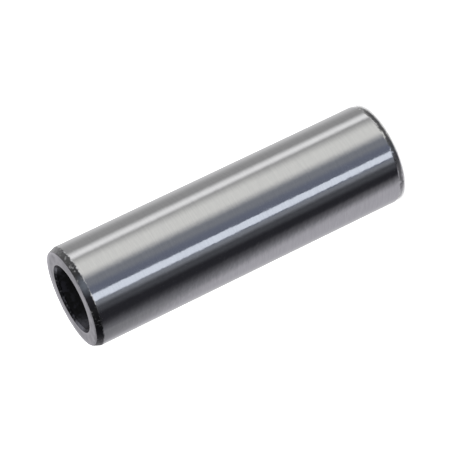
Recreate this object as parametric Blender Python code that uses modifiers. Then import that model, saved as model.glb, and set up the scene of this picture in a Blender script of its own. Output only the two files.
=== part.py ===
"""Gudgeon pin: the hollow hardened pin that joins a piston to its connecting rod.

The pin is turned from one piece of steel. It stands on its lower end face. The origin is the
centre of that face, and +Z runs along the pin's axis. Lengths are in metres, angles in radians.
"""
import math

import bpy
from mathutils import Vector

PIN_NAME = "gudgeon_pin"

# The tube: the bore is what the wall leaves of the outside diameter
PIN_LENGTH = 0.0730
OUTSIDE_DIAMETER = 0.0220
WALL_THICKNESS = 0.0040

# The slim cone at each end, which leads the pin into the bosses of the piston
LEAD_LENGTH = 0.00140
LEAD_DEPTH = 0.00060

# The edges of the section: where the outside rolls over into the cone, where the cone
# meets the flat end face, and the small bevel round the mouth of the bore
LEAD_BLEND_RADIUS = 0.00060
FACE_EDGE_RADIUS = 0.00015
MOUTH_CHAMFER = 0.00050

# How finely the round forms are divided, and the angle from which an edge shows as sharp
TURN_STEPS = 96
ROUNDING_STEPS = 3
SHARP_ANGLE = math.radians(30.0)
MERGE_DISTANCE = 0.00001

# Ground and polished steel
STEEL_COLOUR = (0.56, 0.56, 0.58, 1.0)
STEEL_ROUGHNESS = 0.18
STEEL_METALLIC = 1.0


def clear_scene():
    """Remove every object, so that the pin is alone in the file."""
    for old_object in list(bpy.data.objects):
        bpy.data.objects.remove(old_object, do_unlink=True)


def ground_steel():
    """Return the material of the ground and polished pin."""
    material = bpy.data.materials.new("ground_steel")
    material.use_nodes = True
    shader = material.node_tree.nodes["Principled BSDF"]
    shader.inputs["Base Color"].default_value = STEEL_COLOUR
    shader.inputs["Roughness"].default_value = STEEL_ROUGHNESS
    shader.inputs["Metallic"].default_value = STEEL_METALLIC
    material.diffuse_color = STEEL_COLOUR
    return material


def rounded_corner(before, corner, after, radius):
    """Return the points of the arc that touches the two straights which meet at a corner."""
    to_before = (before - corner).normalized()
    to_after = (after - corner).normalized()
    half_angle = to_before.angle(to_after) / 2
    reach = radius / math.tan(half_angle)
    centre = corner + (to_before + to_after).normalized() * (radius / math.sin(half_angle))
    first_spoke = (corner + to_before * reach - centre).normalized()
    last_spoke = (corner + to_after * reach - centre).normalized()
    shares = [step / ROUNDING_STEPS for step in range(ROUNDING_STEPS + 1)]
    return [centre + first_spoke.slerp(last_spoke, share) * radius for share in shares]


def half_section():
    """Return the wall's section above mid-length: up the bore, over the end and down the outside.

    The points lie in the plane of X and Z, with Z counted from the middle of the pin.
    """
    top = PIN_LENGTH / 2
    outside_radius = OUTSIDE_DIAMETER / 2
    bore_radius = outside_radius - WALL_THICKNESS

    bore_middle = Vector((bore_radius, 0.0, 0.0))
    mouth_foot = Vector((bore_radius, 0.0, top - MOUTH_CHAMFER))
    mouth_rim = Vector((bore_radius + MOUTH_CHAMFER, 0.0, top))
    cone_top = Vector((outside_radius - LEAD_DEPTH, 0.0, top))
    cone_foot = Vector((outside_radius, 0.0, top - LEAD_LENGTH))
    outside_middle = Vector((outside_radius, 0.0, 0.0))

    face_edge = rounded_corner(mouth_rim, cone_top, cone_foot, FACE_EDGE_RADIUS)
    lead_blend = rounded_corner(cone_top, cone_foot, outside_middle, LEAD_BLEND_RADIUS)
    return [bore_middle, mouth_foot, mouth_rim, *face_edge, *lead_blend, outside_middle]


def turned_mesh(profile_object):
    """Turn an object's profile round its Z axis, mirror it below and return the closed mesh."""
    turning = profile_object.modifiers.new("turning", "SCREW")
    turning.axis = "Z"
    turning.angle = math.tau
    turning.steps = TURN_STEPS
    turning.render_steps = TURN_STEPS

    lower_half = profile_object.modifiers.new("lower_half", "MIRROR")
    lower_half.use_axis = (False, False, True)
    lower_half.merge_threshold = MERGE_DISTANCE

    evaluated = profile_object.evaluated_get(bpy.context.evaluated_depsgraph_get())
    mesh = bpy.data.meshes.new_from_object(evaluated)
    profile_object.modifiers.clear()
    return mesh


def gudgeon_pin(collection):
    """Make the pin, with its flat faces, cones and rounded edges each shaded as they lie."""
    section = half_section()
    profile = bpy.data.meshes.new(PIN_NAME + "_section")
    profile.from_pydata(section, [(index, index + 1) for index in range(len(section) - 1)], [])
    pin = bpy.data.objects.new(PIN_NAME, profile)
    pin.location = (0.0, 0.0, PIN_LENGTH / 2)
    collection.objects.link(pin)

    pin.data = turned_mesh(pin)
    pin.data.name = PIN_NAME
    bpy.data.meshes.remove(profile)

    pin.data.materials.append(ground_steel())
    pin.data.shade_smooth()
    pin.data.set_sharp_from_angle(angle=SHARP_ANGLE)
    even_shading = pin.modifiers.new("even_shading", "WEIGHTED_NORMAL")
    even_shading.keep_sharp = True


def main():
    clear_scene()
    collection = bpy.data.collections.new(PIN_NAME)
    bpy.context.scene.collection.children.link(collection)
    gudgeon_pin(collection)


main()
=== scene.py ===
"""Looks of the gudgeon pin: the finely turned shape, its ground and scaled finishes, and the studio.

The pin stands on its lower end face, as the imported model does. The studio is a plain pale floor
under soft light, and the camera is rolled, so that the standing pin lies aslant in the picture.
"""
import math

import bpy
from mathutils import Matrix, Vector


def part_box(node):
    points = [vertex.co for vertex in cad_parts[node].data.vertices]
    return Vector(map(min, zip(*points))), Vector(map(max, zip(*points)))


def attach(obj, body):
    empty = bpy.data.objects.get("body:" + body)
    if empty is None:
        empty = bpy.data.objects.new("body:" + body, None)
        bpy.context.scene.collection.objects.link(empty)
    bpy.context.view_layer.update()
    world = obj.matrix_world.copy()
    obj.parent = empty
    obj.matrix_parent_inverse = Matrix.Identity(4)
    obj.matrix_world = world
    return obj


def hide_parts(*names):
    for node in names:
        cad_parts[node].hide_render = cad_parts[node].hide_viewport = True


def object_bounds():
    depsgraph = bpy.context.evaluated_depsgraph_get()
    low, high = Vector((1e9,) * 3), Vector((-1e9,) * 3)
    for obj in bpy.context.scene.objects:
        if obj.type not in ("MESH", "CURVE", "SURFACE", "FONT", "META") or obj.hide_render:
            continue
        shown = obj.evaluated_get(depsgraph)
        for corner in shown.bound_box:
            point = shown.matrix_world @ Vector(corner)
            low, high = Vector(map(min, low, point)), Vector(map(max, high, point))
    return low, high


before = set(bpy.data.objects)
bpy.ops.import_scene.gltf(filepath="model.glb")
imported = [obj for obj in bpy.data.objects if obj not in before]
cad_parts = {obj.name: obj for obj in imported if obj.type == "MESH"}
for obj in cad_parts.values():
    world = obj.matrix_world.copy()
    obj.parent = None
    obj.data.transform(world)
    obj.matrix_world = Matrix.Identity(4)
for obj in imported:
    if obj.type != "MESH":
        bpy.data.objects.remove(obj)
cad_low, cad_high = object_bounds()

# Millimetres and microns as metres, and degrees as radians
MM = 0.001
MICRON = 0.000001
DEGREE = math.pi / 180

# What a place is multiplied by to keep only the part of it that lies across the pin's axis
ACROSS_AXIS = (1.0, 1.0, 0.0)

# How many degrees round from the camera's side the upper side of the picture lies
UPPER_SIDE = 90

# The turned shape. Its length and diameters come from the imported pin. Only long sides of the
# section get rings between their ends. A face whose middle lies within the flatness of an end
# belongs to the end face.
NODE = "gudgeon_pin"
PIECE = "gudgeon_pin_turned"
LEAD_LENGTH = 1.40 * MM
LEAD_DEPTH = 0.60 * MM
LEAD_BLEND_RADIUS = 0.60 * MM
FACE_EDGE_RADIUS = 0.15 * MM
MOUTH_CHAMFER = 0.50 * MM
TURN_STEPS = 256
ROUNDING_STEPS = 6
RING_SPACING = 1.2 * MM
LONG_SIDE = 4.0 * MM
SHARP_ANGLE = 30 * DEGREE
FLATNESS = 1.0 * MICRON

# The camera, and where the middle of the pin lies in its picture
CAMERA_LENS = 191.0
CAMERA_SENSOR = 36.0
CAMERA_ELEVATION = 17.85 * DEGREE
CAMERA_ROLL = -115.68 * DEGREE
CAMERA_DISTANCE = 0.4928
MIDDLE_RIGHT = 0.275 * MM
MIDDLE_UP = 0.37 * MM
NEAR_CLIP = 0.01
FAR_CLIP = 20.0

# The noise behind lines, patches and frayed margins. It keeps close to its middle. The larger the
# share of patches, the nearer their border comes to the low value. Lines rise between two limits.
NOISE_DETAIL = 3.0
NOISE_MIDDLE = 0.5
NOISE_LOW = 0.35
NOISE_HIGH = 0.65
LINE_LIMITS = (0.3, 0.7)

# The polished outside, with soft clouds and ripples and the lines of the grinding wheel
POLISHED_STEEL = (0.62, 0.62, 0.625, 1.0)
POLISHED_STEEL_LINE = (0.58, 0.58, 0.59, 1.0)
POLISH_ROUGHNESS = 0.07
POLISH_ROUGHNESS_CLOUD = 0.11
POLISH_CLOUDS = dict(patch_size=4.0 * MM, share=0.5, softness=0.2)
POLISH_RIPPLES = dict(patch_size=1.2 * MM, share=0.5, softness=0.3)
POLISH_RIPPLE_DEPTH = 5.0 * MICRON
WHEEL_LINES = dict(line_width=0.25 * MM, breaks=3.0)

# The satin end faces. They are rubbed light along the bore's rim. Their outer margin is stained,
# but for one side, where it is rubbed light too. That side lies so many degrees round from the
# camera's side. The nearness to it runs from minus one, opposite it, to one. The margin turns
# from stained to rubbed between two values of it, and widens between two others.
SATIN_STEEL = (0.58, 0.575, 0.58, 1.0)
SATIN_STEEL_DULL = (0.39, 0.39, 0.395, 1.0)
SATIN_STEEL_RUBBED = (0.58, 0.58, 0.575, 1.0)
FACE_EDGE_STAINED = (0.20, 0.20, 0.21, 1.0)
FACE_EDGE_RUBBED = (0.78, 0.78, 0.78, 1.0)
FACE_ROUGHNESS = 0.28
FACE_ROUGHNESS_LINE = 0.36
FACE_CLOUDS = dict(patch_size=2.2 * MM, share=0.5, softness=0.16)
FACE_FRAY = dict(raggedness=1.0, fray_size=1.1 * MM)
FACE_RIM_MARGIN = 0.8 * MM
FACE_STAINED_MARGIN = 1.15 * MM
FACE_RUBBED_MARGIN = 2.4 * MM
FACE_RUBBED_SIDE = 162
FACE_RUBBED_FROM_TO = (-0.9, 0.3)
FACE_WIDE_FROM_TO = (0.3, 0.9)
FACE_LINES = dict(line_width=0.12 * MM, breaks=2.5)
FACE_LINE_DEPTH = 1.5 * MICRON

# The hardening scale on the lead cones. Each cone has two shades of scale, which change over from
# region to region, and is worn away along its border with the ground outside, along its edge with
# the end face, and in spots. The spots of bare steel colour where a cone's side meets the pin's
# outline are painted glancing reflection. The edge is worn to one width on the lower side of the
# picture and to another on the upper side, and changes over between two values of the nearness to
# that side. A spot has its colour, how many degrees it lies round from the camera's side, how far it
# lies from the end face and how far it reaches.
# region to region, and is worn away along its border with the ground outside, along its edge with
# the end face, and in spots. The edge is worn to one width on the lower side of the picture and to
# another on the upper side, and changes over between two values of the nearness to that side. A
# spot has its colour, how many degrees it lies round from the camera's side, how far it lies from
# the end face and how far it reaches.
BLACK_SCALE = (0.024, 0.024, 0.028, 1.0)
GREY_SCALE = (0.042, 0.042, 0.044, 1.0)
WORN_BLACK_SCALE = (0.1024, 0.1024, 0.1048, 1.0)
WORN_GREY_SCALE = (0.1132, 0.1132, 0.1144, 1.0)
THIN_SCALE = (0.22, 0.22, 0.22, 1.0)
DULL_SCALE = (0.085, 0.085, 0.085, 1.0)
SCALE_FLECK = (0.24, 0.24, 0.24, 1.0)
TEMPER_BLUE = (0.14, 0.155, 0.18, 1.0)
# Bare steel colour for spots on the cones' sides along the pin's outline, a painted glancing
# reflection
GLANCING_REFLECTION_STEEL = (0.60, 0.60, 0.60, 1.0)
SCALE_ROUGHNESS = 0.36
CONE_FLECKS = dict(patch_size=0.6 * MM, share=0.2, softness=0.06)
CONE_REGIONS = dict(patch_size=6.0 * MM, share=0.5, softness=0.06)
CONE_FRAY = dict(raggedness=3.0, fray_size=0.6 * MM)
CONE_SPOT_FRAY = dict(raggedness=0.5, fray_size=0.6 * MM)
CONE_EDGE_FROM_TO = (-0.6, 0.0)
CONE_LINES = dict(line_width=0.2 * MM, breaks=12.0)
CONE_LINE_DEPTH = 4.0 * MICRON
UPPER_CONE = dict(
    shades=(BLACK_SCALE, GREY_SCALE), region_variant=0.0,
    border_wear=0.30 * MM, frayed_margin=(0.02 * MM, 0.02 * MM),
    spots=(
        dict(colour=DULL_SCALE, turn=46, from_end=1.2 * MM, reach=4.5 * MM),
        dict(colour=TEMPER_BLUE, turn=7, from_end=1.2 * MM, reach=3.0 * MM),
        # Painted glancing reflection: bare steel colour on the cone's upper side, at the pin's
        # outline
        dict(colour=GLANCING_REFLECTION_STEEL, turn=97, from_end=0.6 * MM, reach=9.0 * MM),
    ),
)
LOWER_CONE = dict(
    shades=(WORN_BLACK_SCALE, WORN_GREY_SCALE), region_variant=3.0,
    border_wear=0.72 * MM, frayed_margin=(0.55 * MM, 0.30 * MM),
    spots=(
        dict(colour=THIN_SCALE, turn=-30, from_end=0.4 * MM, reach=6.0 * MM),
        # Painted glancing reflection: bare steel colour on both sides of the cone, at the pin's
        # outline
        dict(colour=GLANCING_REFLECTION_STEEL, turn=-85, from_end=0.6 * MM, reach=10.0 * MM),
        dict(colour=GLANCING_REFLECTION_STEEL, turn=85, from_end=0.6 * MM, reach=7.0 * MM),
    ),
)

# The black scale in the bore. It is blackest on the bevels, and lighter in patches near the mouths,
# where it has specks of steel too. Two lighter spots at the upper mouth are painted sheen, where the
# wall is seen at a glancing angle.
BEVEL_SCALE = (0.0015, 0.0015, 0.0022, 1.0)
BORE_SCALE = (0.007, 0.007, 0.0075, 1.0)
BORE_SCALE_MARK = (0.011, 0.011, 0.012, 1.0)
BORE_SCALE_THIN = (0.022, 0.022, 0.028, 1.0)
BORE_SPECK_STEEL = (0.05, 0.05, 0.055, 1.0)
# Painted sheen: the lighter colour of the spots at the two tips of the upper mouth
BORE_SHEEN_SPOT_COLOUR = (0.065, 0.065, 0.075, 1.0)
BORE_ROUGHNESS = 0.5
BORE_SPECULAR = 0.04
BORE_SHEEN = 0.03
BORE_SHEEN_ROUGHNESS = 0.4
BORE_SPECKS = dict(patch_size=0.45 * MM, share=0.12, softness=0.05)
BORE_SPECK_REACH = 0.9 * MM
BORE_PATCHES = dict(patch_size=1.4 * MM, share=0.35, softness=0.06)
BORE_PATCH_REACH = 4.0 * MM
BORE_LINES = dict(line_width=0.5 * MM, breaks=6.0)
BORE_LINE_DEPTH = 8.0 * MICRON
BORE_SHEEN_SPOT_FRAY = dict(raggedness=1.2, fray_size=0.6 * MM)
# Painted sheen at the two sides of the upper mouth, where the wall is seen at a glancing angle
BORE_SHEEN_SPOTS = (
    dict(colour=BORE_SHEEN_SPOT_COLOUR, turn=-125, from_end=0.8 * MM, reach=3.4 * MM),
    dict(colour=BORE_SHEEN_SPOT_COLOUR, turn=110, from_end=0.5 * MM, reach=2.0 * MM),
)

# The floor and the lamp above it
FLOOR_RADIUS = 0.8
FLOOR_SIDES = 96
FLOOR_LEVEL = -0.02 * MM
FLOOR_COLOUR = (0.86, 0.86, 0.86, 1.0)
PAPER_WHITE = (1.0, 1.0, 1.0, 1.0)
LAMP_SIZE = 1.6
LAMP_HEIGHT = 1.2
LAMP_POWER = 34.0

# The studio round the pin. Each panel has its colour, the directions between which it is full,
# how far it fades before and after them, and how its sides lean. Zero is towards the camera and
# ninety to the side that is up in the picture. A rise gives the heights between which a panel
# comes in from below, and a top those between which it ends. A lean is counted from the reflected
# level and goes no further than its reach above and below. Directions, fades and heights are in
# degrees. The low screen is thin cloth, so it covers what is behind it only by a share.
REFLECTED_LEVEL = -18.0
LEAN_REACH = 5.0
SWEEP_WHITE = (0.70, 0.70, 0.705, 1.0)
BACK_WALL = (0.50, 0.49, 0.53, 1.0)
BACK_WALL_RISE = (-6.0, 8.0)
CEILING = (0.80, 0.80, 0.80, 1.0)
CEILING_RISE = (30.0, 55.0)
GREY_WALL = dict(colour=(0.40, 0.40, 0.40, 1.0), start=66, end=117, fade_in=26, fade_out=36)
FRONT_WALL = dict(colour=(0.265, 0.28, 0.315, 1.0), start=-34, end=20, fade_in=30, fade_out=40)
WARM_SOFTBOX = dict(colour=(0.94, 0.94, 0.91, 1.0), start=42, end=56, fade_in=22, fade_out=29.5)
THIN_STRIP = dict(
    colour=(1.15, 1.15, 1.15, 1.0), start=88, end=90, fade_in=11, fade_out=17,
    start_lean=-0.5, end_lean=-0.5,
)
CAMERA_SIDE = dict(colour=(0.18, 0.20, 0.265, 1.0), start=-26, end=0, fade_in=1, fade_out=14)
LILAC_WALL = dict(colour=(0.55, 0.54, 0.58, 1.0), start=-134, end=-60, fade_in=42, fade_out=10)
SHADED_WALL = dict(
    colour=(0.225, 0.225, 0.245, 1.0), start=-92, end=-80, fade_in=22, fade_out=12,
    start_lean=-5.0,
)
SHADE_RISE = (-28.0, -13.5)
LOW_SCREEN = dict(
    colour=(0.29, 0.29, 0.305, 1.0), start=-104, end=-104, fade_in=32, fade_out=6, start_lean=-6.0,
)
LOW_SCREEN_RISE = (-17.4, -14.6)
LOW_SCREEN_TOP = (-12.0, -4.0)
LOW_SCREEN_SHARE = 0.8
DARK_CURTAIN = dict(colour=(0.085, 0.088, 0.10, 1.0), start=-60, end=-40, fade_in=10, fade_out=9)
BLACK_FLAG = dict(
    colour=(0.028, 0.028, 0.034, 1.0), start=-66.5, end=-56, fade_in=36, fade_out=12,
    start_lean=-1.2,
)
COOL_STRIP = dict(
    colour=(1.00, 1.07, 1.20, 1.0), start=-23.5, end=-10.8, fade_in=2, fade_out=1.5,
    start_lean=-0.25,
)
HIGH_SOFTBOX = dict(colour=(0.90, 0.90, 0.92, 1.0), start=-20, end=130, fade_in=30, fade_out=20)
HIGH_SOFTBOX_RISE = (-2.0, 14.0)


# Nodes

def add_node(tree, kind, **settings):
    """Add a node to a tree and set its properties."""
    made = tree.nodes.new(kind)
    for name, value in settings.items():
        setattr(made, name, value)
    return made


def feed(tree, socket, value):
    """Link an output to an input socket, or set the socket's constant."""
    if isinstance(value, bpy.types.NodeSocket):
        tree.links.new(value, socket)
    else:
        socket.default_value = value


def calculate(tree, operation, *operands):
    """Return the result of one Math node."""
    made = add_node(tree, "ShaderNodeMath", operation=operation)
    for socket, operand in zip(made.inputs, operands):
        feed(tree, socket, operand)
    return made.outputs["Value"]


def calculate_vector(tree, operation, *operands):
    """Return the result of one Vector Math node."""
    made = add_node(tree, "ShaderNodeVectorMath", operation=operation)
    for socket, operand in zip(made.inputs, operands):
        feed(tree, socket, operand)
    return next(socket for socket in made.outputs if socket.enabled)


def smooth_step(tree, value, low, high, to_low=0.0, to_high=1.0):
    """Return to_low below low and to_high above high, with a smooth rise between them."""
    made = add_node(tree, "ShaderNodeMapRange", interpolation_type="SMOOTHSTEP")
    feed(tree, made.inputs["Value"], value)
    feed(tree, made.inputs["From Min"], low)
    feed(tree, made.inputs["From Max"], high)
    feed(tree, made.inputs["To Min"], to_low)
    feed(tree, made.inputs["To Max"], to_high)
    return made.outputs["Result"]


def mix_colours(tree, share, first, second):
    """Return the first colour with that share of the second over it."""
    made = add_node(tree, "ShaderNodeMix", data_type="RGBA")
    first_socket, second_socket = (socket for socket in made.inputs if socket.type == "RGBA")
    feed(tree, made.inputs["Factor"], share)
    feed(tree, first_socket, first)
    feed(tree, second_socket, second)
    return next(socket for socket in made.outputs if socket.type == "RGBA")


def noise(tree, place, patch_size, variant=0.0):
    """Return noise whose patches have about that size. Another variant has other patches."""
    made = add_node(tree, "ShaderNodeTexNoise", noise_dimensions="4D")
    feed(tree, made.inputs["Vector"], place)
    feed(tree, made.inputs["W"], variant)
    feed(tree, made.inputs["Scale"], calculate(tree, "DIVIDE", 1.0, patch_size))
    made.inputs["Detail"].default_value = NOISE_DETAIL
    return made.outputs["Fac"]


def new_group(kind, name, inputs, outputs):
    """Make a node group, and return it with its input node's sockets and its output node."""
    group = bpy.data.node_groups.new(name, kind)
    for socket_name, socket_type in inputs.items():
        group.interface.new_socket(socket_name, in_out="INPUT", socket_type=socket_type)
    for socket_name, socket_type in outputs.items():
        group.interface.new_socket(socket_name, in_out="OUTPUT", socket_type=socket_type)
    given = group.nodes.new("NodeGroupInput").outputs
    return group, given, group.nodes.new("NodeGroupOutput")


def effect(tree, group_name, **values):
    """Place one of the shader groups in a tree, with its own values, and return its outputs.

    A value called line_width goes to the socket Line Width.
    """
    group = bpy.data.node_groups[group_name]
    made = add_node(tree, "ShaderNodeGroup", node_tree=group)
    for name, value in values.items():
        feed(tree, made.inputs[name.replace("_", " ").title()], value)
    return made.outputs


def outwards(turn):
    """Return the direction out of the pin's axis, so many degrees round from the camera's side."""
    return Vector((math.sin(turn * DEGREE), -math.cos(turn * DEGREE), 0.0))


# The turned shape

MEASURES = (
    "Length", "Outside Diameter", "Bore Diameter", "Lead Length", "Lead Depth",
    "Lead Blend Radius", "Face Edge Radius", "Mouth Chamfer", "Scale Border", "Ring Spacing",
    "Long Side", "Sharp Angle", "Flatness",
)
STEPS = ("Turn Steps", "Rounding Steps")
FINISHES = ("Outside", "End Faces", "Upper Cone", "Lower Cone", "Bore")


def section_corners(tree, given):
    """Return each corner of the wall's section: its depth from the bore, height and rounding."""
    length = given["Length"]
    lead = given["Lead Length"]
    mouth = given["Mouth Chamfer"]
    blend = given["Lead Blend Radius"]
    edge = given["Face Edge Radius"]
    both_walls = calculate(tree, "SUBTRACT", given["Outside Diameter"], given["Bore Diameter"])
    wall = calculate(tree, "DIVIDE", both_walls, 2.0)
    cone_top = calculate(tree, "SUBTRACT", wall, given["Lead Depth"])
    upper_mouth = calculate(tree, "SUBTRACT", length, mouth)
    upper_lead = calculate(tree, "SUBTRACT", length, lead)
    return (
        (0.0, mouth, 0.0),
        (0.0, upper_mouth, 0.0),
        (mouth, length, 0.0),
        (cone_top, length, edge),
        (wall, upper_lead, blend),
        (wall, lead, blend),
        (cone_top, 0.0, edge),
        (mouth, 0.0, 0.0),
    )


def section_curve(tree, corners, rounding_steps):
    """Return the closed curve through the section's corners, rounded where they say so.

    In the curve X is the depth from the bore's wall out. Y is the height with its sign changed,
    because the sweep round the circle turns a profile's Y downwards.
    """
    index = add_node(tree, "GeometryNodeInputIndex").outputs["Index"]
    places = add_node(tree, "GeometryNodeIndexSwitch", data_type="VECTOR")
    roundings = add_node(tree, "GeometryNodeIndexSwitch", data_type="FLOAT")
    for switch in (places, roundings):
        while len(switch.index_switch_items) < len(corners):
            switch.index_switch_items.new()
        feed(tree, switch.inputs["Index"], index)
    for number, (depth, height, rounding) in enumerate(corners):
        place = add_node(tree, "ShaderNodeCombineXYZ")
        feed(tree, place.inputs["X"], depth)
        feed(tree, place.inputs["Y"], calculate(tree, "MULTIPLY", height, -1.0))
        feed(tree, places.inputs[str(number)], place.outputs["Vector"])
        feed(tree, roundings.inputs[str(number)], rounding)

    points = add_node(tree, "GeometryNodeMeshLine")
    points.inputs["Count"].default_value = len(corners)
    placed = add_node(tree, "GeometryNodeSetPosition")
    feed(tree, placed.inputs["Geometry"], points.outputs["Mesh"])
    feed(tree, placed.inputs["Position"], places.outputs["Output"])
    curve = add_node(tree, "GeometryNodeMeshToCurve")
    feed(tree, curve.inputs["Mesh"], placed.outputs["Geometry"])
    closed = add_node(tree, "GeometryNodeSetSplineCyclic")
    feed(tree, closed.inputs["Geometry"], curve.outputs["Curve"])
    closed.inputs["Cyclic"].default_value = True
    rounded = add_node(tree, "GeometryNodeFilletCurve", mode="POLY")
    feed(tree, rounded.inputs["Curve"], closed.outputs["Geometry"])
    feed(tree, rounded.inputs["Count"], rounding_steps)
    feed(tree, rounded.inputs["Radius"], roundings.outputs["Output"])
    return rounded.outputs["Curve"]


def ringed_curve(tree, curve, given):
    """Return the section with its long sides divided, so that the pin's faces are not slivers."""
    here = add_node(tree, "GeometryNodeInputPosition").outputs["Position"]
    next_point = add_node(tree, "GeometryNodeOffsetPointInCurve")
    next_point.inputs["Offset"].default_value = 1
    there = add_node(tree, "GeometryNodeFieldAtIndex", data_type="FLOAT_VECTOR", domain="POINT")
    feed(tree, there.inputs["Index"], next_point.outputs["Point Index"])
    feed(tree, there.inputs["Value"], here)
    side = calculate_vector(tree, "DISTANCE", here, there.outputs["Value"])
    is_long = calculate(tree, "GREATER_THAN", side, given["Long Side"])
    rings = calculate(tree, "DIVIDE", side, given["Ring Spacing"])
    divided = add_node(tree, "GeometryNodeSubdivideCurve")
    feed(tree, divided.inputs["Curve"], curve)
    feed(tree, divided.inputs["Cuts"], calculate(tree, "MULTIPLY", is_long, rings))
    return divided.outputs["Curve"]


def turned_solid(tree, curve, given):
    """Return the section swept round the circle of the bore, with only its corners sharp."""
    circle = add_node(tree, "GeometryNodeCurvePrimitiveCircle", mode="RADIUS")
    feed(tree, circle.inputs["Resolution"], given["Turn Steps"])
    feed(tree, circle.inputs["Radius"], calculate(tree, "DIVIDE", given["Bore Diameter"], 2.0))
    solid = add_node(tree, "GeometryNodeCurveToMesh")
    feed(tree, solid.inputs["Curve"], circle.outputs["Curve"])
    feed(tree, solid.inputs["Profile Curve"], curve)
    fold = add_node(tree, "GeometryNodeInputMeshEdgeAngle").outputs["Unsigned Angle"]
    is_corner = calculate(tree, "GREATER_THAN", fold, given["Sharp Angle"])
    shaded = add_node(tree, "GeometryNodeSetShadeSmooth", domain="EDGE")
    feed(tree, shaded.inputs["Geometry"], solid.outputs["Mesh"])
    feed(tree, shaded.inputs["Selection"], is_corner)
    shaded.inputs["Shade Smooth"].default_value = False
    realized = add_node(tree, "GeometryNodeRealizeInstances")
    feed(tree, realized.inputs["Geometry"], shaded.outputs["Geometry"])
    return realized.outputs["Geometry"]


def finished_solid(tree, solid, given):
    """Give each part of the turned surface its finish, by where it lies on the pin."""
    position = add_node(tree, "GeometryNodeInputPosition").outputs["Position"]
    place = add_node(tree, "ShaderNodeSeparateXYZ")
    feed(tree, place.inputs["Vector"], position)
    height = place.outputs["Z"]
    flattened = calculate_vector(tree, "MULTIPLY", position, ACROSS_AXIS)
    across = calculate_vector(tree, "LENGTH", flattened)
    from_top = calculate(tree, "SUBTRACT", given["Length"], height)
    from_end = calculate(tree, "MINIMUM", height, from_top)
    bore_radius = calculate(tree, "DIVIDE", given["Bore Diameter"], 2.0)
    rim_radius = calculate(tree, "ADD", bore_radius, given["Mouth Chamfer"])
    middle = calculate(tree, "DIVIDE", given["Length"], 2.0)

    # A later zone takes its part from the zones before it
    zones = {
        "Lower Cone": True,
        "Upper Cone": calculate(tree, "GREATER_THAN", height, middle),
        "Outside": calculate(tree, "GREATER_THAN", from_end, given["Scale Border"]),
        "Bore": calculate(tree, "LESS_THAN", across, rim_radius),
        "End Faces": calculate(tree, "LESS_THAN", from_end, given["Flatness"]),
    }
    for name, zone in zones.items():
        dressed = add_node(tree, "GeometryNodeSetMaterial")
        feed(tree, dressed.inputs["Geometry"], solid)
        feed(tree, dressed.inputs["Selection"], zone)
        feed(tree, dressed.inputs["Material"], given[name])
        solid = dressed.outputs["Geometry"]
    return solid


def turned_pin_tree():
    """Make the tree that turns the pin from its sizes and gives it its finishes."""
    inputs = {
        **dict.fromkeys(MEASURES, "NodeSocketFloat"),
        **dict.fromkeys(STEPS, "NodeSocketInt"),
        **dict.fromkeys(FINISHES, "NodeSocketMaterial"),
    }
    tree, given, result = new_group(
        "GeometryNodeTree", "turned_pin", inputs, {"Geometry": "NodeSocketGeometry"}
    )
    corners = section_corners(tree, given)
    curve = section_curve(tree, corners, given["Rounding Steps"])
    solid = turned_solid(tree, ringed_curve(tree, curve, given), given)
    feed(tree, result.inputs["Geometry"], finished_solid(tree, solid, given))
    return tree


def turned_pin(sizes, finishes):
    """Make the pin as a plain mesh, turned finely to its sizes."""
    blank = bpy.data.meshes.new("blank")
    pin = bpy.data.objects.new(PIECE, blank)
    bpy.context.scene.collection.objects.link(pin)
    turning = pin.modifiers.new("turning", "NODES")
    turning.node_group = turned_pin_tree()
    values = {**sizes, **finishes}
    for item in turning.node_group.interface.items_tree:
        if item.in_out == "INPUT":
            turning[item.identifier] = values[item.name]
    even_shading = pin.modifiers.new("even_shading", "WEIGHTED_NORMAL")
    even_shading.keep_sharp = True
    evaluated = pin.evaluated_get(bpy.context.evaluated_depsgraph_get())
    turned = bpy.data.meshes.new_from_object(evaluated)
    pin.modifiers.clear()
    pin.data = turned
    turned.name = PIECE
    bpy.data.meshes.remove(blank)
    return pin


# Effects that several finishes use

def make_place_on_pin():
    """Make the group that tells where on the pin a point lies."""
    outputs = {
        "Place": "NodeSocketVector",
        "Around": "NodeSocketVector",
        "Height": "NodeSocketFloat",
        "Across": "NodeSocketFloat",
        "From End": "NodeSocketFloat",
    }
    group, given, result = new_group(
        "ShaderNodeTree", "place_on_pin", {"Length": "NodeSocketFloat"}, outputs
    )
    place = add_node(group, "ShaderNodeTexCoord").outputs["Object"]
    flattened = calculate_vector(group, "MULTIPLY", place, ACROSS_AXIS)
    split = add_node(group, "ShaderNodeSeparateXYZ")
    feed(group, split.inputs["Vector"], place)
    height = split.outputs["Z"]
    from_top = calculate(group, "SUBTRACT", given["Length"], height)
    feed(group, result.inputs["Place"], place)
    feed(group, result.inputs["Around"], calculate_vector(group, "NORMALIZE", flattened))
    feed(group, result.inputs["Height"], height)
    feed(group, result.inputs["Across"], calculate_vector(group, "LENGTH", flattened))
    feed(group, result.inputs["From End"], calculate(group, "MINIMUM", height, from_top))


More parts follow.
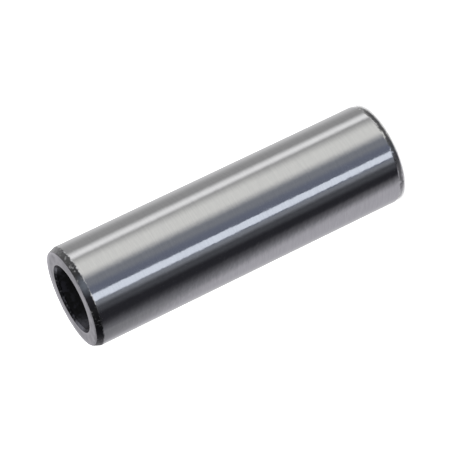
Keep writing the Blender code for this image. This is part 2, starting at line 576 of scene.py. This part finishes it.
def make_turned_lines():
    """Make the group of lines that a wheel or a tool leaves round the axis."""
    inputs = {
        "Around": "NodeSocketVector",
        "Travel": "NodeSocketFloat",
        "Line Width": "NodeSocketFloat",
        "Breaks": "NodeSocketFloat",
    }
    group, given, result = new_group(
        "ShaderNodeTree", "turned_lines", inputs, {"Lines": "NodeSocketFloat"}
    )
    along = add_node(group, "ShaderNodeVectorMath", operation="SCALE")
    feed(group, along.inputs["Vector"], given["Around"])
    feed(group, along.inputs["Scale"], given["Breaks"])
    crossing = add_node(group, "ShaderNodeCombineXYZ")
    crossed = calculate(group, "DIVIDE", given["Travel"], given["Line Width"])
    feed(group, crossing.inputs["Z"], crossed)
    spot = calculate_vector(group, "ADD", along.outputs["Vector"], crossing.outputs["Vector"])
    grain = noise(group, spot, 1.0)
    feed(group, result.inputs["Lines"], smooth_step(group, grain, *LINE_LIMITS))


def make_mottle():
    """Make the group of soft irregular patches."""
    inputs = {
        "Place": "NodeSocketVector",
        "Patch Size": "NodeSocketFloat",
        "Share": "NodeSocketFloat",
        "Softness": "NodeSocketFloat",
        "Variant": "NodeSocketFloat",
    }
    group, given, result = new_group(
        "ShaderNodeTree", "mottle", inputs, {"Patches": "NodeSocketFloat"}
    )
    grain = noise(group, given["Place"], given["Patch Size"], given["Variant"])
    lowering = NOISE_LOW - NOISE_HIGH
    border = calculate(group, "MULTIPLY_ADD", given["Share"], lowering, NOISE_HIGH)
    low = calculate(group, "SUBTRACT", border, given["Softness"])
    high = calculate(group, "ADD", border, given["Softness"])
    feed(group, result.inputs["Patches"], smooth_step(group, grain, low, high))


def make_edge_wear():
    """Make the group of the ragged margin along an edge or round a spot. Along the edges it is
    rubbed wear; round some spots it carries painted glancing reflection and painted sheen.
    """
    inputs = {
        "Place": "NodeSocketVector",
        "Distance": "NodeSocketFloat",
        "Width": "NodeSocketFloat",
        "Raggedness": "NodeSocketFloat",
        "Fray Size": "NodeSocketFloat",
    }
    group, given, result = new_group(
        "ShaderNodeTree", "frayed_margin", inputs, {"Margin Share": "NodeSocketFloat"}
    )
    grain = noise(group, given["Place"], given["Fray Size"])
    fray = calculate(group, "SUBTRACT", grain, NOISE_MIDDLE)
    reach = calculate(group, "MULTIPLY", given["Raggedness"], given["Width"])
    frayed = calculate(group, "MULTIPLY_ADD", fray, reach, given["Distance"])
    frayed_share = smooth_step(group, frayed, 0.0, given["Width"], 1.0, 0.0)
    feed(group, result.inputs["Margin Share"], frayed_share)


# The finishes

def new_material(name):
    """Make a plain material and return it with its tree and its shader."""
    material = bpy.data.materials.new(name)
    material.use_nodes = True
    tree = material.node_tree
    return material, tree, tree.nodes["Principled BSDF"]


def lay_steel(tree, shader, colour, roughness):
    """Make the surface steel of that colour and roughness."""
    feed(tree, shader.inputs["Base Color"], colour)
    feed(tree, shader.inputs["Roughness"], roughness)
    shader.inputs["Metallic"].default_value = 1.0


def lay_relief(tree, shader, height, depth):
    """Raise the surface by up to that depth where the height is one."""
    relief = add_node(tree, "ShaderNodeBump")
    relief.inputs["Distance"].default_value = depth
    feed(tree, relief.inputs["Height"], height)
    feed(tree, shader.inputs["Normal"], relief.outputs["Normal"])


def lay_spots(tree, place, ground, spots, radius, end_height, fray):
    """Return the ground colour with frayed spots over it, on the end whose face has that height."""
    for spot in spots:
        middle = outwards(spot["turn"]) * radius
        middle.z = abs(end_height - spot["from_end"])
        distance = calculate_vector(tree, "DISTANCE", place, middle)
        # The spots on the cones' outline are painted glancing reflection, those in the bore painted
        # sheen, the rest scale
        frayed_share = effect(
            tree, "frayed_margin", place=place, distance=distance, width=spot["reach"], **fray
        )["Margin Share"]
        ground = mix_colours(tree, frayed_share, ground, spot["colour"])
    return ground


def ground_outside(length):
    """Return the polished outside, with faint lines of the grinding wheel round it."""
    material, tree, shader = new_material("ground_outside")
    on_pin = effect(tree, "place_on_pin", length=length)
    place = on_pin["Place"]
    wheel = effect(
        tree, "turned_lines", around=on_pin["Around"], travel=on_pin["Height"], **WHEEL_LINES
    )["Lines"]
    clouds = effect(tree, "mottle", place=place, **POLISH_CLOUDS)["Patches"]
    ripples = effect(tree, "mottle", place=place, **POLISH_RIPPLES)["Patches"]
    steel = mix_colours(tree, wheel, POLISHED_STEEL, POLISHED_STEEL_LINE)
    roughness = smooth_step(tree, clouds, 0.0, 1.0, POLISH_ROUGHNESS, POLISH_ROUGHNESS_CLOUD)
    lay_steel(tree, shader, steel, roughness)
    lay_relief(tree, shader, ripples, POLISH_RIPPLE_DEPTH)
    return material


def ground_face(length, rim_radius, edge_radius):
    """Return the satin end face, with rings left by the wheel and its two margins."""
    material, tree, shader = new_material("ground_face")
    on_pin = effect(tree, "place_on_pin", length=length)
    place = on_pin["Place"]
    rings = effect(
        tree, "turned_lines", around=on_pin["Around"], travel=on_pin["Across"], **FACE_LINES
    )["Lines"]
    clouds = effect(tree, "mottle", place=place, **FACE_CLOUDS)["Patches"]
    from_rim = calculate(tree, "SUBTRACT", on_pin["Across"], rim_radius)
    at_rim = effect(
        tree, "frayed_margin", place=place, distance=from_rim, width=FACE_RIM_MARGIN, **FACE_FRAY
    )["Margin Share"]
    side = calculate_vector(tree, "DOT_PRODUCT", on_pin["Around"], outwards(FACE_RUBBED_SIDE))
    rubbed = smooth_step(tree, side, *FACE_RUBBED_FROM_TO)
    edge = mix_colours(tree, rubbed, FACE_EDGE_STAINED, FACE_EDGE_RUBBED)
    margin = smooth_step(tree, side, *FACE_WIDE_FROM_TO, FACE_STAINED_MARGIN, FACE_RUBBED_MARGIN)
    from_edge = calculate(tree, "SUBTRACT", edge_radius, on_pin["Across"])
    at_edge = effect(
        tree, "frayed_margin", place=place, distance=from_edge, width=margin, **FACE_FRAY
    )["Margin Share"]
    steel = mix_colours(tree, clouds, SATIN_STEEL_DULL, SATIN_STEEL)
    steel = mix_colours(tree, at_rim, steel, SATIN_STEEL_RUBBED)
    steel = mix_colours(tree, at_edge, steel, edge)
    roughness = smooth_step(tree, rings, 0.0, 1.0, FACE_ROUGHNESS, FACE_ROUGHNESS_LINE)
    lay_steel(tree, shader, steel, roughness)
    lay_relief(tree, shader, rings, FACE_LINE_DEPTH)
    return material


def scaled_cone(name, length, outside_radius, scale_border, end_height, state):
    """Return a lead cone's dark scale on its turned surface, worn and spotted as the cone's state
    says. Its spots of bare steel colour on the pin's outline are painted glancing reflection.
    """
    material, tree, shader = new_material(name)
    on_pin = effect(tree, "place_on_pin", length=length)
    place = on_pin["Place"]
    from_end = on_pin["From End"]
    streaks = effect(
        tree, "turned_lines", around=on_pin["Around"], travel=from_end, **CONE_LINES
    )["Lines"]
    patches = effect(tree, "mottle", place=place, **CONE_FLECKS)["Patches"]
    regions = effect(
        tree, "mottle", place=place, variant=state["region_variant"], **CONE_REGIONS
    )["Patches"]
    flecks = calculate(tree, "MULTIPLY", patches, regions)
    scale = mix_colours(tree, regions, *state["shades"])
    # Spots of scale, and on the pin's outline spots of bare steel colour that paint glancing
    # reflection
    scale = lay_spots(
        tree, place, scale, state["spots"], outside_radius, end_height, CONE_SPOT_FRAY
    )
    scale = mix_colours(tree, flecks, scale, SCALE_FLECK)
    from_border = calculate(tree, "SUBTRACT", scale_border, from_end)
    at_border = effect(
        tree, "frayed_margin", place=place, distance=from_border, width=state["border_wear"],
        **CONE_FRAY,
    )["Margin Share"]
    side = calculate_vector(tree, "DOT_PRODUCT", on_pin["Around"], outwards(UPPER_SIDE))
    edge_width = smooth_step(tree, side, *CONE_EDGE_FROM_TO, *state["frayed_margin"])
    at_edge = effect(
        tree, "frayed_margin", place=place, distance=from_end, width=edge_width, **CONE_FRAY
    )["Margin Share"]
    rubbed = calculate(tree, "MAXIMUM", at_border, at_edge)
    steel = mix_colours(tree, rubbed, scale, POLISHED_STEEL)
    roughness = smooth_step(tree, rubbed, 0.0, 1.0, SCALE_ROUGHNESS, POLISH_ROUGHNESS_CLOUD)
    lay_steel(tree, shader, steel, roughness)
    lay_relief(tree, shader, streaks, CONE_LINE_DEPTH)
    return material


def scaled_bore(length, bore_radius):
    """Return the bore: matt black scale over the drill's marks, thinner in places near a mouth, and
    with painted sheen in two spots at the upper mouth's tips.
    """
    material, tree, shader = new_material("scaled_bore")
    on_pin = effect(tree, "place_on_pin", length=length)
    place = on_pin["Place"]
    from_end = on_pin["From End"]
    marks = effect(
        tree, "turned_lines", around=on_pin["Around"], travel=from_end, **BORE_LINES
    )["Lines"]
    patches = effect(tree, "mottle", place=place, **BORE_PATCHES)["Patches"]
    specks = effect(tree, "mottle", place=place, **BORE_SPECKS)["Patches"]
    into_bevel = smooth_step(tree, from_end, 0.0, MOUTH_CHAMFER)
    past_bevel = smooth_step(tree, from_end, MOUTH_CHAMFER, BORE_SPECK_REACH)
    near_mouth = smooth_step(tree, from_end, MOUTH_CHAMFER, BORE_PATCH_REACH, 1.0, 0.0)
    at_mouth = smooth_step(tree, from_end, 0.0, BORE_SPECK_REACH, 1.0, 0.0)
    thinned_zone = calculate(tree, "MULTIPLY", near_mouth, into_bevel)
    thinned = calculate(tree, "MULTIPLY", patches, thinned_zone)
    bared = calculate(tree, "MULTIPLY", specks, at_mouth)
    scale = mix_colours(tree, marks, BORE_SCALE, BORE_SCALE_MARK)
    scale = mix_colours(tree, past_bevel, BEVEL_SCALE, scale)
    scale = mix_colours(tree, thinned, scale, BORE_SCALE_THIN)
    # Painted sheen: lighter spots where the mouth's wall is seen at a glancing angle
    scale = lay_spots(tree, place, scale, BORE_SHEEN_SPOTS, bore_radius, length, BORE_SHEEN_SPOT_FRAY)
    scale = mix_colours(tree, bared, scale, BORE_SPECK_STEEL)
    feed(tree, shader.inputs["Base Color"], scale)
    shader.inputs["Roughness"].default_value = BORE_ROUGHNESS
    shader.inputs["Specular IOR Level"].default_value = BORE_SPECULAR
    shader.inputs["Sheen Weight"].default_value = BORE_SHEEN
    shader.inputs["Sheen Roughness"].default_value = BORE_SHEEN_ROUGHNESS
    lay_relief(tree, shader, marks, BORE_LINE_DEPTH)
    return material


# The studio

def floor():
    """Lay the plain pale floor."""
    bpy.ops.mesh.primitive_circle_add(
        vertices=FLOOR_SIDES, radius=FLOOR_RADIUS, fill_type="NGON"
    )
    made = bpy.context.object
    made.name = "studio_floor"
    made.location.z = FLOOR_LEVEL
    made.visible_glossy = False
    material, _, shader = new_material("white_paper")
    shader.inputs["Base Color"].default_value = FLOOR_COLOUR
    shader.inputs["Roughness"].default_value = 1.0
    shader.inputs["Specular IOR Level"].default_value = 0.0
    made.data.materials.append(material)


def make_studio_panel():
    """Make the group that masks one studio panel by its direction.

    The sides of a panel lean: they shift by so many degrees for each degree above the level at
    which the camera sees the middle of the pin reflect.
    """
    names = ("Azimuth", "Rise", "Start", "End", "Fade In", "Fade Out", "Start Lean", "End Lean")
    group, given, result = new_group(
        "ShaderNodeTree", "studio_panel",
        dict.fromkeys(names, "NodeSocketFloat"), {"Mask": "NodeSocketFloat"},
    )
    azimuth = given["Azimuth"]
    start = calculate(group, "MULTIPLY_ADD", given["Rise"], given["Start Lean"], given["Start"])
    end = calculate(group, "MULTIPLY_ADD", given["Rise"], given["End Lean"], given["End"])
    before = calculate(group, "SUBTRACT", start, given["Fade In"])
    after = calculate(group, "ADD", end, given["Fade Out"])
    coming = smooth_step(group, azimuth, before, start)
    going = smooth_step(group, azimuth, end, after, 1.0, 0.0)
    feed(group, result.inputs["Mask"], calculate(group, "MULTIPLY", coming, going))


def direction_in_room(tree):
    """Return the azimuth and the elevation in which the room is seen, in degrees."""
    direction = add_node(tree, "ShaderNodeTexCoord").outputs["Generated"]
    split = add_node(tree, "ShaderNodeSeparateXYZ")
    feed(tree, split.inputs["Vector"], direction)
    towards_camera = calculate(tree, "MULTIPLY", split.outputs["Y"], -1.0)
    turn = calculate(tree, "ARCTAN2", split.outputs["X"], towards_camera)
    climb = calculate(tree, "ARCSINE", split.outputs["Z"])
    return calculate(tree, "DEGREES", turn), calculate(tree, "DEGREES", climb)


def panelled_room(tree, azimuth, elevation):
    """Return the colour of the room in a direction, with soft upright panels all round."""
    above = calculate(tree, "SUBTRACT", elevation, REFLECTED_LEVEL)
    rise = calculate(tree, "MINIMUM", above, LEAN_REACH)
    rise = calculate(tree, "MAXIMUM", rise, -LEAN_REACH)

    def hang(room, panel, share=1.0):
        """Return the room with one more panel in it."""
        sides = {name: value for name, value in panel.items() if name != "colour"}
        mask = effect(tree, "studio_panel", azimuth=azimuth, rise=rise, **sides)["Mask"]
        return mix_colours(tree, calculate(tree, "MULTIPLY", mask, share), room, panel["colour"])

    back_wall = smooth_step(tree, elevation, *BACK_WALL_RISE)
    room = mix_colours(tree, back_wall, SWEEP_WHITE, BACK_WALL)
    for panel in (GREY_WALL, FRONT_WALL, WARM_SOFTBOX, THIN_STRIP, CAMERA_SIDE, LILAC_WALL):
        room = hang(room, panel)
    room = hang(room, SHADED_WALL, smooth_step(tree, elevation, *SHADE_RISE))
    risen = smooth_step(tree, elevation, *LOW_SCREEN_RISE)
    below_top = smooth_step(tree, elevation, *LOW_SCREEN_TOP, LOW_SCREEN_SHARE, 0.0)
    room = hang(room, LOW_SCREEN, calculate(tree, "MULTIPLY", risen, below_top))
    for panel in (DARK_CURTAIN, BLACK_FLAG, COOL_STRIP):
        room = hang(room, panel)
    room = hang(room, HIGH_SOFTBOX, smooth_step(tree, elevation, *HIGH_SOFTBOX_RISE))
    return mix_colours(tree, smooth_step(tree, elevation, *CEILING_RISE), room, CEILING)


def studio_world():
    """Light the pin by the panelled room, and show plain white behind it."""
    world = bpy.data.worlds.new("studio")
    bpy.context.scene.world = world
    world.use_nodes = True
    world.cycles.sampling_method = "NONE"
    tree = world.node_tree
    room = panelled_room(tree, *direction_in_room(tree))
    seen = add_node(tree, "ShaderNodeLightPath").outputs["Is Camera Ray"]
    shown = mix_colours(tree, seen, room, PAPER_WHITE)
    feed(tree, tree.nodes["Background"].inputs["Color"], shown)


def overhead_light():
    """Hang the large soft light over the floor."""
    lamp = bpy.data.lights.new("overhead_softbox", "AREA")
    lamp.shape = "DISK"
    lamp.size = LAMP_SIZE
    lamp.energy = LAMP_POWER
    hung = bpy.data.objects.new("overhead_softbox", lamp)
    hung.location = (0.0, 0.0, LAMP_HEIGHT)
    hung.visible_glossy = False
    bpy.context.scene.collection.objects.link(hung)


def camera():
    """Set the camera where the photograph was taken from."""
    back = Vector((0.0, -math.cos(CAMERA_ELEVATION), math.sin(CAMERA_ELEVATION)))
    level = Vector((1.0, 0.0, 0.0))
    upright = back.cross(level)
    right = math.cos(CAMERA_ROLL) * level + math.sin(CAMERA_ROLL) * upright
    up = back.cross(right)
    middle = (cad_low + cad_high) / 2
    place = middle + CAMERA_DISTANCE * back - MIDDLE_RIGHT * right - MIDDLE_UP * up
    lens = bpy.data.cameras.new("camera")
    lens.lens = CAMERA_LENS
    lens.sensor_width = CAMERA_SENSOR
    lens.clip_start = NEAR_CLIP
    lens.clip_end = FAR_CLIP
    made = bpy.data.objects.new("camera", lens)
    made.matrix_world = Matrix.Translation(place) @ Matrix((right, up, back)).transposed().to_4x4()
    bpy.context.scene.collection.objects.link(made)
    bpy.context.scene.camera = made


def dressed_pin():
    """Make the pin in its finishes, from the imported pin's sizes."""
    low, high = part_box(NODE)
    length = high.z - low.z
    outside_radius = (high.x - low.x) / 2
    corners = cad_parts[NODE].data.vertices
    bore_radius = min(math.hypot(corner.co.x, corner.co.y) for corner in corners)

    # The scale reaches from the end face to where the blend meets the straight outside
    half_slope = math.tan(math.atan2(LEAD_DEPTH, LEAD_LENGTH) / 2)
    scale_border = LEAD_LENGTH + LEAD_BLEND_RADIUS * half_slope
    sizes = {
        "Length": length,
        "Outside Diameter": 2 * outside_radius,
        "Bore Diameter": 2 * bore_radius,
        "Lead Length": LEAD_LENGTH,
        "Lead Depth": LEAD_DEPTH,
        "Lead Blend Radius": LEAD_BLEND_RADIUS,
        "Face Edge Radius": FACE_EDGE_RADIUS,
        "Mouth Chamfer": MOUTH_CHAMFER,
        "Scale Border": scale_border,
        "Ring Spacing": RING_SPACING,
        "Long Side": LONG_SIDE,
        "Sharp Angle": SHARP_ANGLE,
        "Flatness": FLATNESS,
        "Turn Steps": TURN_STEPS,
        "Rounding Steps": ROUNDING_STEPS,
    }
    finishes = {
        "Outside": ground_outside(length),
        "End Faces": ground_face(length, bore_radius + MOUTH_CHAMFER, outside_radius - LEAD_DEPTH),
        "Upper Cone": scaled_cone(
            "scaled_upper_cone", length, outside_radius, scale_border, length, UPPER_CONE
        ),
        "Lower Cone": scaled_cone(
            "scaled_lower_cone", length, outside_radius, scale_border, 0.0, LOWER_CONE
        ),
        "Bore": scaled_bore(length, bore_radius),
    }
    return turned_pin(sizes, finishes)


make_place_on_pin()
make_turned_lines()
make_mottle()
make_edge_wear()
make_studio_panel()

pin = dressed_pin()
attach(pin, "root")
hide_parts(NODE)

floor()
studio_world()
overhead_light()
camera()
bpy.context.scene.view_settings.view_transform = "Standard"
